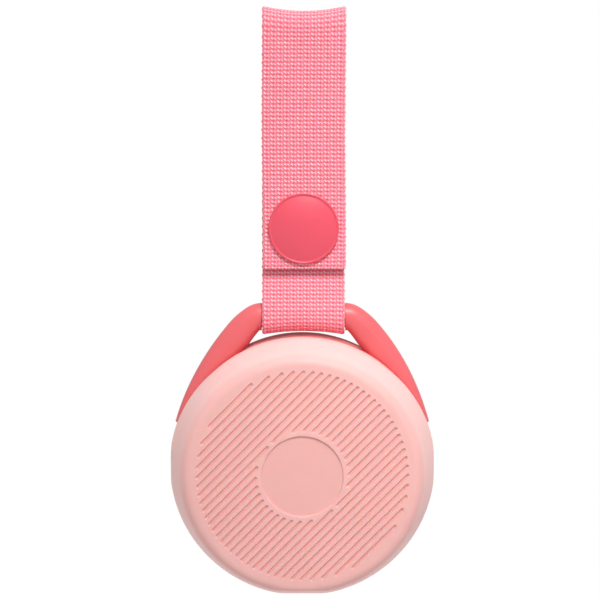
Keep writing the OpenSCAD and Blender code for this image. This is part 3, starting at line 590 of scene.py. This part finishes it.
# Rows across one groove's pitch, closer together at its edges.
ROW_STEPS = np.array([-0.5, -0.36, -0.31, -0.27, -0.235, -0.20, -0.165, -0.12,
                      0, 0.12, 0.165, 0.20, 0.235, 0.27, 0.31, 0.36])
# Points along a row, set about a groove's end, about the dish's edge and in from the disc's rim.
END_STEPS = np.array([-0.75, -0.3, -0.05, 0.12, 0.24, 0.36, 0.48, 0.6, 0.8])
DISH_STEPS = np.array([-0.3, -0.18, -0.06, 0.06, 0.18, 0.3])
RIM_STEPS = np.array([0.4, 0.2, 0.1, 0.0])


def half_chord(r, v):
    """Half the chord of a circle of radius r at a distance v from its centre, and 0 outside it."""
    return np.sqrt(np.maximum(r ** 2 - v ** 2, 0))


def groove_line(v):
    """The groove nearest to v: its middle line's place, and the ends of that line on one side of the
    face, which run from the dish's margin, or the middle of the face, to the field's edge."""
    off = (np.floor(v / RIB_PITCH) + 0.5) * RIB_PITCH
    far = half_chord(RIB_FIELD, off) - RIB_W / 2
    near = np.where(np.abs(off) < KEEP_R, half_chord(KEEP_R, off) + RIB_W / 2, 0.0)
    return off, near, far


def groove_depth(u, v):
    """Depth of the grooves at u along them and v across them: a rounded trough round each groove's
    middle line."""
    off, near, far = groove_line(v)
    along = np.maximum(np.abs(u) - far, near - np.abs(u))
    away = np.hypot(np.maximum(along, 0), v - off)
    live = (far - near > RIB_W / 2) & (np.abs(off) < RIB_FIELD - RIB_W)
    trough = 1 - ease((away - RIB_W / 2 + 0.20) / 0.34)
    return RIB_D * trough * live


def face_depth(u, v):
    """Depth of the whole face: grooves and the round dish with its soft edge."""
    r = np.hypot(u, v)
    dish = 1 - ease((r - DISH_R + 0.18) / 0.36)
    return np.maximum(groove_depth(u, v), DISH_D * dish)


def foot_at(y):
    """The foot flat's distance from the centre: it slopes inwards over the shoulder's depth."""
    ahead = SPLIT_Y - 2.75 - y
    return FOOT_FLAT - 0.15 * np.clip(ahead, 0, 6) - 0.4 * np.maximum(ahead - 6, 0)


def outline_reach(a, foot=FOOT_FLAT):
    """The cover's outline at angle a, from the centre: the body's circle with its side and foot
    flats, and the smaller crown circle above the ramps."""
    c, s = np.cos(a), np.sin(a)
    body = soft_min(np.full_like(a, BODY_R), SIDE_FLAT / np.maximum(np.abs(c), 1e-6), 0.25)
    body = np.where(s < 0, soft_min(body, foot / np.maximum(-s, 1e-6), 0.12), body)
    rise = np.degrees(np.arcsin(np.clip(s, -1, 1)))
    share = np.clip((rise - RAMP_START) / (RAMP_END - RAMP_START), 0, 1)
    return np.where(s < 0, body, body - (BODY_R - CROWN_R) * share ** 1.2)


def face_grid():
    """The face's rows, which follow the grooves: u along them and v across them, from rim to rim."""
    count = int(DISC_R // RIB_PITCH) + 1
    v = (np.arange(-count, count)[:, None] + 0.5 + ROW_STEPS[None, :]).ravel() * RIB_PITCH
    v = v[np.abs(v) < DISC_R * math.sin(math.radians(78))]
    tail = DISC_R * np.sin(np.radians(np.arange(78, 90, 1.0)))
    v = np.concatenate([-tail[::-1], v, tail])
    chord, rim = half_chord(DISC_R, v), half_chord(DISH_R, v)
    off, near, far = groove_line(v)
    halves = []
    for i in range(len(v)):
        # From the middle out: the dish, its edge, the grooves' inner ends, the grooves, their outer ends.
        meets_dish = abs(off[i]) < KEEP_R
        outer = max(min(far[i], chord[i] - 1.0), 1.2)
        inner = near[i] if meets_dish else 0.35 * outer
        edge = rim[i] if abs(v[i]) < DISH_R and rim[i] < inner - 1.0 else 0.6 * inner
        knots = np.concatenate([
            np.linspace(0, max(edge - 0.5, 0.05), 9),
            edge + DISH_STEPS * min(1, edge / 0.6),
            [(edge + 0.3 + inner - 0.85) / 2],
            inner - END_STEPS[::-1] * (1 if meets_dish else 0.5),
            np.linspace(inner + 1.0, outer - 1.0, 12),
            outer + END_STEPS,
            chord[i] - RIM_STEPS * (chord[i] - outer - 0.8)])
        halves.append(np.clip(np.maximum.accumulate(knots), 0, chord[i]))
    half = np.array(halves)
    u = np.concatenate([-half[:, :0:-1], half], axis=1)
    return u, np.repeat(v[:, None], u.shape[1], axis=1)


def cover_rings(angle):
    """The cover from the face's rim outwards, as rings of radius and depth at the given angles: the
    shoulder on a cubic curve, the side wall, the edge at the seam, and back inside the wall."""
    reach = outline_reach(angle)
    t = np.linspace(0, 1, 22)
    shares = np.stack([(1 - t) ** 3, 3 * t * (1 - t) ** 2, 3 * t * t * (1 - t), t ** 3], axis=1)
    shoulder = shares @ np.array([
        [DISC_R, REAR_Y], [FACE_R + 2.9, REAR_Y + 0.05], [FACE_R + 3.3, REAR_Y + 4.2], [BODY_R, SPLIT_Y - 1.95]])
    rings = [(soft_min(np.full_like(reach, r), outline_reach(angle, foot_at(y)), 0.3), y) for r, y in shoulder]
    rings += [(reach - inset, SPLIT_Y - before) for inset, before in (
        (0, 1.2), (0, 0.35), (0.06, 0.1), (0.3, 0), (WALL, 0), (WALL, 3.6))]
    rings += [(np.minimum(r - WALL, reach - WALL), y + WALL)
              for r, y in shoulder[-3:3:-3] if y + WALL <= SPLIT_Y - 4.0]
    rings.append((np.full_like(reach, 2.0), REAR_Y + WALL))
    return [(r, np.full_like(reach, y)) for r, y in rings]


def cover_skin():
    """The rear cover as one closed shell: the face, and the rings that go out from its rim and back
    inside. Returns points and faces, the share of the painted shade in the grooves and dish, and the share of the
    painted light on the shoulder."""
    u, v = face_grid()
    rows, cols = u.shape
    depth = face_depth(u, v)
    c, s = math.cos(math.radians(RIB_ANGLE)), math.sin(math.radians(RIB_ANGLE))
    face = np.stack([u * c - v * s, REAR_Y + depth, u * s + v * c + BODY_Z], axis=-1).reshape(-1, 3)
    # The face's rim, walked round once: the right ends upwards, then the left ends downwards.
    rim = np.concatenate([
        np.arange(rows) * cols + cols - 1,
        (rows - 1) * cols + np.arange(cols - 2, 0, -1),
        np.arange(rows - 1, -1, -1) * cols,
        np.arange(1, cols - 1)])
    angle = np.arctan2(face[rim, 2] - BODY_Z, face[rim, 0])
    rings = np.array([
        np.stack([r * np.cos(angle), y, BODY_Z + r * np.sin(angle)], axis=-1) for r, y in cover_rings(angle)])
    m, n = rings.shape[:2]
    first = len(face) + np.arange(n)
    link = np.stack([rim, np.roll(rim, -1), np.roll(first, -1), first], axis=1)
    points = np.concatenate([face, rings.reshape(-1, 3)])
    faces = [grid(rows, cols).tolist(), link.tolist(), (grid(m, n, close_cols=True) + len(face)).tolist(),
             (first + (m - 1) * n).tolist()]
    # Painted shade: the grooves take the darker colour by their depth, and the dish takes less of it.
    painted_groove_shade = np.zeros(len(points))
    in_dish = np.hypot(u, v) < DISH_R + 0.3
    painted_groove_shade[:len(face)] = (np.minimum(depth / RIB_D, 1) * np.where(in_dish, 0.35, 0.8)).ravel()
    # Painted light: the shoulder and side wall take the lighter colour, which offsets their shade.
    shoulder = ease((points[:, 1] - REAR_Y - 0.6) / 3.0)
    return points, faces, painted_groove_shade, shoulder


def cut_away(obj, name, low, high):
    """Cuts a box, given by its corners in millimetres, out of a piece."""
    bm = bmesh.new()
    bmesh.ops.create_cube(bm, size=1.0)
    low, high = np.array(low), np.array(high)
    for vert in bm.verts:
        vert.co = Vector(((low + high) / 2 + (high - low) * np.array(vert.co)) * MM)
    mesh = bpy.data.meshes.new(name)
    bm.to_mesh(mesh)
    bm.free()
    cutter = bpy.data.objects.new(name, mesh)
    scene.collection.objects.link(cutter)
    combine(obj, cutter, "DIFFERENCE", tolerant=True)


def combine(obj, other, operation, tolerant=False):
    """Unites another object with this one, or takes it away, fixes the result and drops the other."""
    change = obj.modifiers.new("combine", "BOOLEAN")
    change.object, change.operation, change.solver = other, operation, "EXACT"
    change.use_hole_tolerant = tolerant
    deps = bpy.context.evaluated_depsgraph_get()
    fixed = bpy.data.meshes.new_from_object(obj.evaluated_get(deps))
    obj.modifiers.clear()
    obj.data = fixed
    bpy.data.objects.remove(other)


# The cover carries its painted groove shade and its painted shoulder light as point attributes.
points, faces, painted_groove_shade, shoulder = cover_skin()
cover = piece("rear_cover_skin", points, faces, "housing", FINISHES["cover_pink"],
              stands_for=("rear_cover",), numbers={"painted_groove_shade": painted_groove_shade, "shoulder": shoulder})
PORT_LOW, PORT_HIGH = corner("port_cover", 0), corner("port_cover", 1)
PORT_T = 1.1
cut_away(cover, "port_recess", PORT_LOW - (0.15, 0.15, 8), PORT_HIGH + (0.15, 0.15, 0.05))
usb_low, usb_high = corner("usb_port", 0) - 0.3, corner("usb_port", 1) + 0.3
cut_away(cover, "port_opening", (*usb_low[:2], PORT_LOW[2] - 8), (*usb_high[:2], PORT_HIGH[2] + 6))
cover.data.set_sharp_from_angle(angle=math.radians(40))


def port_cover_skin():
    """The charging port's rubber flap: a plate whose outer face keeps to the housing's flat and
    follows the shoulder in front of it, with rounded ends and softened edges."""
    (x0, y0), (x1, y1) = PORT_LOW[:2], PORT_HIGH[:2]
    n, m, round_r = 40, 60, 1.6
    y = y0 + (y1 - y0) * (1 - np.cos(np.linspace(0, math.pi, n))) / 2
    inset = np.maximum(np.abs(y - (y0 + y1) / 2) - ((y1 - y0) / 2 - round_r), 0)
    half = (x1 - x0) / 2 - (round_r - half_chord(round_r, inset))
    across = np.linspace(-1, 1, m)
    xx, yy = half[:, None] * across[None, :], np.repeat(y[:, None], m, axis=1)
    soft = 0.25 * (bump(1 - np.abs(across), 0.02)[None, :] + bump(yy - y0, 0.2) + bump(y1 - yy, 0.2))
    low = BODY_Z - (foot_at(yy) - 0.02) + np.minimum(soft, 0.3)
    outside, inside = (
        np.stack([xx, yy, z], axis=-1).reshape(-1, 3) for z in (low, np.full_like(xx, PORT_LOW[2] + PORT_T)))
    ring = np.concatenate([
        np.arange(m), np.arange(1, n) * m + m - 1,
        (n - 1) * m + np.arange(m - 2, -1, -1), np.arange(n - 2, 0, -1) * m])
    side = np.stack([ring, np.roll(ring, -1), np.roll(ring, -1) + n * m, ring + n * m], axis=1)
    faces = [grid(n, m).tolist(), (grid(n, m)[:, ::-1] + n * m).tolist(), side.tolist()]
    return np.concatenate([outside, inside]), faces


points, faces = port_cover_skin()
piece("port_cover_skin", points, faces, "port_cover", FINISHES["port_rubber"],
      stands_for=("port_cover",), smooth_angle=50)


# ---------------------------------------------------------------- the carrying loop
COLLAR = 0.12
ROOT_R = BAND_R - BAND_T + 1.1
# The arm's outer edge: its first lean in degrees, then arcs of radius and turn.
LEAN = 5.2
ARCS = ((8.58, 26.95), (26.13, 17.06), (81.87, 24.98))
# The arm's inner edge, about the housing's centre: share of the way down, angle and radius.
ROOT_LINE = np.array([[0.0, 0.25, 0.4, 1.0], [71.8, 66.0, 58.4, 18.8], [44.86, 42.14, 39.9, ROOT_R]])
CREASE_AT, CREASE_W, CREASE_D = 0.45, 0.08, 0.16
LOOP_SWAY = 0.38


def arm_edges():
    """The arm's two edges: outside, a short straight run beside the webbing and then three tangent arcs
    down to the tip; inside, the underside that runs into the band. Returns both and the way along."""
    place, heading = [np.array([[BAR_HALF, BAR_RISE + BAR_R + COLLAR]])], LEAN
    for radius, turn in ARCS:
        h0, h = math.radians(heading), np.radians(heading + np.linspace(0, turn, 40))[1:]
        step = np.stack([np.sin(h) - math.sin(h0), np.cos(h) - math.cos(h0)], axis=1)
        place.append(place[-1][-1] + radius * step)
        heading += turn
    outer = np.concatenate(place)
    way = np.concatenate([[0], np.cumsum(np.hypot(*np.diff(outer, axis=0).T))])
    way /= way[-1]
    angle = np.radians(np.interp(way, ROOT_LINE[0], ROOT_LINE[1]))
    reach = np.interp(way, ROOT_LINE[0], ROOT_LINE[2])
    inner = np.stack([reach * np.cos(angle), reach * np.sin(angle)], axis=1)
    lead = BAR_HALF - HALF_W - 0.3
    back = np.linspace(lead, 0, 5)[:-1, None]
    slope = math.tan(math.radians(LEAN))
    outer = np.concatenate([outer[0] + back * [[-1.0, slope]], outer])
    inner = np.concatenate([inner[0] + back * [[-1.0, 0.0]], inner])
    return outer, inner, np.concatenate([np.zeros(4), way])


def arm(side, around=72):
    """One arm: rounded sections between its two edges. A section is a softened box, wide through the
    housing's depth, with a shallow crease on both faces. Nothing reaches in past the band."""
    outer, inner, u = arm_edges()
    w = BAR_R + COLLAR + (BAND_W / 2 - 0.3 - BAR_R) * u
    n = 2 / (2 + 1.2 * u)
    a = np.linspace(0, TAU, around, endpoint=False)[None, :]
    c = np.sign(np.cos(a)) * np.abs(np.cos(a)) ** n[:, None]
    s = np.sign(np.sin(a)) * np.abs(np.sin(a)) ** n[:, None]
    crease = bump(c - CREASE_AT, CREASE_W) * ease(u[:, None] / 0.25) * CREASE_D
    depth = w[:, None] * s - np.sign(s) * crease
    across = (inner - outer)[:, None, :] * (1 - c)[:, :, None] / 2
    at = outer[:, None, :] + across
    reach = np.hypot(at[..., 0], at[..., 1])
    out = np.where(reach < ROOT_R, ROOT_R / reach, 1)
    points = np.stack([side * at[..., 0] * out, depth, BODY_Z + at[..., 1] * out], axis=-1)
    return points.reshape(-1, 3), tube_faces(len(u), around)


def band():
    """The band in the housing's rebate: a rounded box section carried round from ramp to ramp."""
    a = np.radians(np.linspace(RAMP_START + 0.5, 179.5 - RAMP_START, 150))
    half, r_in, r_out, soft = BAND_W / 2 - 0.1, BAND_R - BAND_T, BAND_R, 0.35
    q = np.radians(np.linspace(0, 90, 6))
    c, s = soft * np.cos(q), soft * np.sin(q)
    far, near, top = r_out - soft, r_in + soft, half - soft
    r = np.concatenate([far + c, near - s, near - c, far + s])
    y = np.concatenate([top + s, top + c, -top - s, -top - c])
    rr, aa = np.meshgrid(r, a)
    yy = np.meshgrid(y, a)[0]
    points = np.stack([rr * np.cos(aa), yy, BODY_Z + rr * np.sin(aa)], axis=-1).reshape(-1, 3)
    return points, tube_faces(len(a), len(r))


def bar():
    """The straight carrying bar: a round section carried from arm to arm, slimmer under the webbing."""
    x = np.linspace(-BAR_HALF - 0.05, BAR_HALF + 0.05, 40)
    a = np.linspace(0, TAU, 64, endpoint=False)
    xx, aa = np.meshgrid(x, a, indexing="ij")
    r = BAR_R - 0.55 * ease((HALF_W - 0.4 - np.abs(xx)) / 2)
    points = np.stack([xx, r * np.cos(aa), BODY_Z + BAR_RISE + r * np.sin(aa)], axis=-1).reshape(-1, 3)
    return points, tube_faces(len(x), len(a))


def carrying_loop():
    """Both arms, the bar and the band united into one skin, which then leans a little to one side:
    the shift grows smoothly with height from the housing's middle up to the bar."""
    points, faces = arm(1)
    loop = piece("carrying_loop_skin", points, faces, None, FINISHES["coral_plastic"])
    for name, (points, faces) in (("arm_left", arm(-1)), ("bar", bar()), ("band", band())):
        combine(loop, shell(name, points, faces), "UNION")
    mesh = loop.data
    place = np.empty(len(mesh.vertices) * 3)
    mesh.vertices.foreach_get("co", place)
    x, z = place[0::3], place[2::3]
    x += LOOP_SWAY * MM * ease((z / MM - BODY_Z - 14) / 28)
    mesh.vertices.foreach_set("co", place)
    mesh.set_sharp_from_angle(angle=math.radians(48))
    mesh.materials.clear()
    mesh.materials.append(FINISHES["coral_plastic"])
    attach(loop, "housing")
    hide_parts("strap_yoke")


carrying_loop()


# ---------------------------------------------------------------- the snap's cap
def turned(profile, centre_x, centre_y, centre_z, around=128):
    """A profile of radius and depth turned about an axis along Y. Its first and last points lie on
    that axis."""
    r, y = np.array(profile).T
    a = np.linspace(0, TAU, around, endpoint=False)
    rr, aa = np.meshgrid(r, a, indexing="ij")
    yy = np.meshgrid(y, a, indexing="ij")[0]
    points = np.stack([centre_x + rr * np.cos(aa), centre_y + yy, centre_z + rr * np.sin(aa)], axis=-1)
    return points.reshape(-1, 3), [grid(len(r), around, close_cols=True).tolist()]


CAP_R, CAP_H = 11.05, 2.5
CAP_DRIFT, CAP_DROP = 0.4, 0.4
POST_R, POST_L = 1.5, 1.9


def snap_cap_profile():
    """The cap from the middle of its dome out over the thin rim and back to its post. The dome's
    height falls with the power 2.1 of the way out."""
    dome_edge = CAP_R - 0.75
    dome = [(r, -CAP_H + (CAP_H - 0.85) * (r / dome_edge) ** 2.1) for r in np.linspace(0, dome_edge, 24)]
    rim_a = np.radians(np.linspace(150, -90, 14))
    rim = [(CAP_R - 0.34 + 0.34 * math.cos(a), -0.75 - 0.30 * math.sin(a)) for a in rim_a]
    under = [(CAP_R - 0.5, -0.25), (CAP_R - 0.9, 0.0), (POST_R, 0.0), (POST_R, POST_L), (0, POST_L)]
    return dome + rim + under


points, faces = turned(snap_cap_profile(), CAP_DRIFT, CAP_FACE_Y, SNAP_Z - CAP_DROP)
piece("snap_cap_skin", points, faces, "flap", FINISHES["snap_plastic"],
      stands_for=("snap_cap",), smooth_angle=50)


# ---------------------------------------------------------------- stage, light and camera
WHITE = (1, 1, 1, 1)
FILL = 0.62
CAMERA_LENS, CAMERA_RISE, CAMERA_AWAY = 90, 5.6, 476.6
CAMERA_AIM = (-0.73, 0, -89.1)


def stage_finish():
    """The floor: white to the camera and in reflections, with the object's soft shadow kept."""
    f = Finish("studio_floor_white")
    f.set(Base_Color=(0.9, 0.9, 0.9, 1), Roughness=0.9)
    ray = f.node("LightPath")
    seen = ray.out("Is Camera Ray").or_more(ray.out("Is Glossy Ray"))
    glow = f.node("Emission", {}, {"Color": WHITE, "Strength": 1.02})
    f.show(f.node("MixShader", {}, {0: seen * 0.96, 1: f.surface, 2: glow}))
    return f.material


def stage():
    """A round floor well below the hanging speaker."""
    floor_z, radius, corners = COVER_LOW[2] - 90, 4000, 96
    a = np.linspace(0, TAU, corners, endpoint=False)
    points = np.stack([radius * np.cos(a), radius * np.sin(a), np.full_like(a, floor_z)], axis=-1)
    mesh = bpy.data.meshes.new("studio_floor")
    mesh.from_pydata((points * MM).tolist(), [], [list(range(corners))])
    mesh.materials.append(stage_finish())
    floor = bpy.data.objects.new("studio_floor", mesh)
    scene.collection.objects.link(floor)


def softbox(name, place, target, size, power, spread=180):
    """A square area lamp at place, in millimetres, turned to the target, with a grid that narrows its beam."""
    data = bpy.data.lights.new(name, "AREA")
    data.shape, data.size, data.energy, data.spread = "SQUARE", size * MM, power, math.radians(spread)
    lamp = bpy.data.objects.new(name, data)
    lamp.location = Vector(place) * MM
    lamp.rotation_euler = (Vector(target) * MM - lamp.location).to_track_quat("-Z", "Y").to_euler()
    scene.collection.objects.link(lamp)


def studio():
    """A white world, full behind the object and dimmer as a fill light, with two lamps from above."""
    world = bpy.data.worlds.new("studio_white")
    world.use_nodes = True
    scene.world = world
    nodes, links = world.node_tree.nodes, world.node_tree.links
    nodes.clear()
    ray, both = nodes.new("ShaderNodeLightPath"), nodes.new("ShaderNodeMixShader")
    links.new(ray.outputs["Is Camera Ray"], both.inputs[0])
    for slot, strength in ((1, FILL), (2, 1.0)):
        white = nodes.new("ShaderNodeBackground")
        white.inputs["Color"].default_value, white.inputs["Strength"].default_value = WHITE, strength
        links.new(white.outputs[0], both.inputs[slot])
    links.new(both.outputs[0], nodes.new("ShaderNodeOutputWorld").inputs[0])
    softbox("key_above_right", (120, -430, 400), (46, -22, -106), 160, 0.075, 25)
    softbox("strap_light", (60, -330, 330), (0, -5, -20), 160, 0.055, 34)


def place_camera():
    """A long lens in front of the ribbed rear, a little above the strap's middle."""
    data = bpy.data.cameras.new("camera")
    data.lens, data.sensor_width = CAMERA_LENS, 36
    data.clip_start, data.clip_end = 0.01, 20
    camera = bpy.data.objects.new("camera", data)
    rise = math.radians(CAMERA_RISE)
    back = np.array([0, -math.cos(rise), math.sin(rise)])
    camera.location = Vector((np.array(CAMERA_AIM) + back * CAMERA_AWAY) * MM)
    camera.rotation_euler = (math.pi / 2 - rise, 0, 0)
    scene.collection.objects.link(camera)
    scene.camera = camera


stage()
studio()
place_camera()
scene.view_settings.view_transform = "Standard"
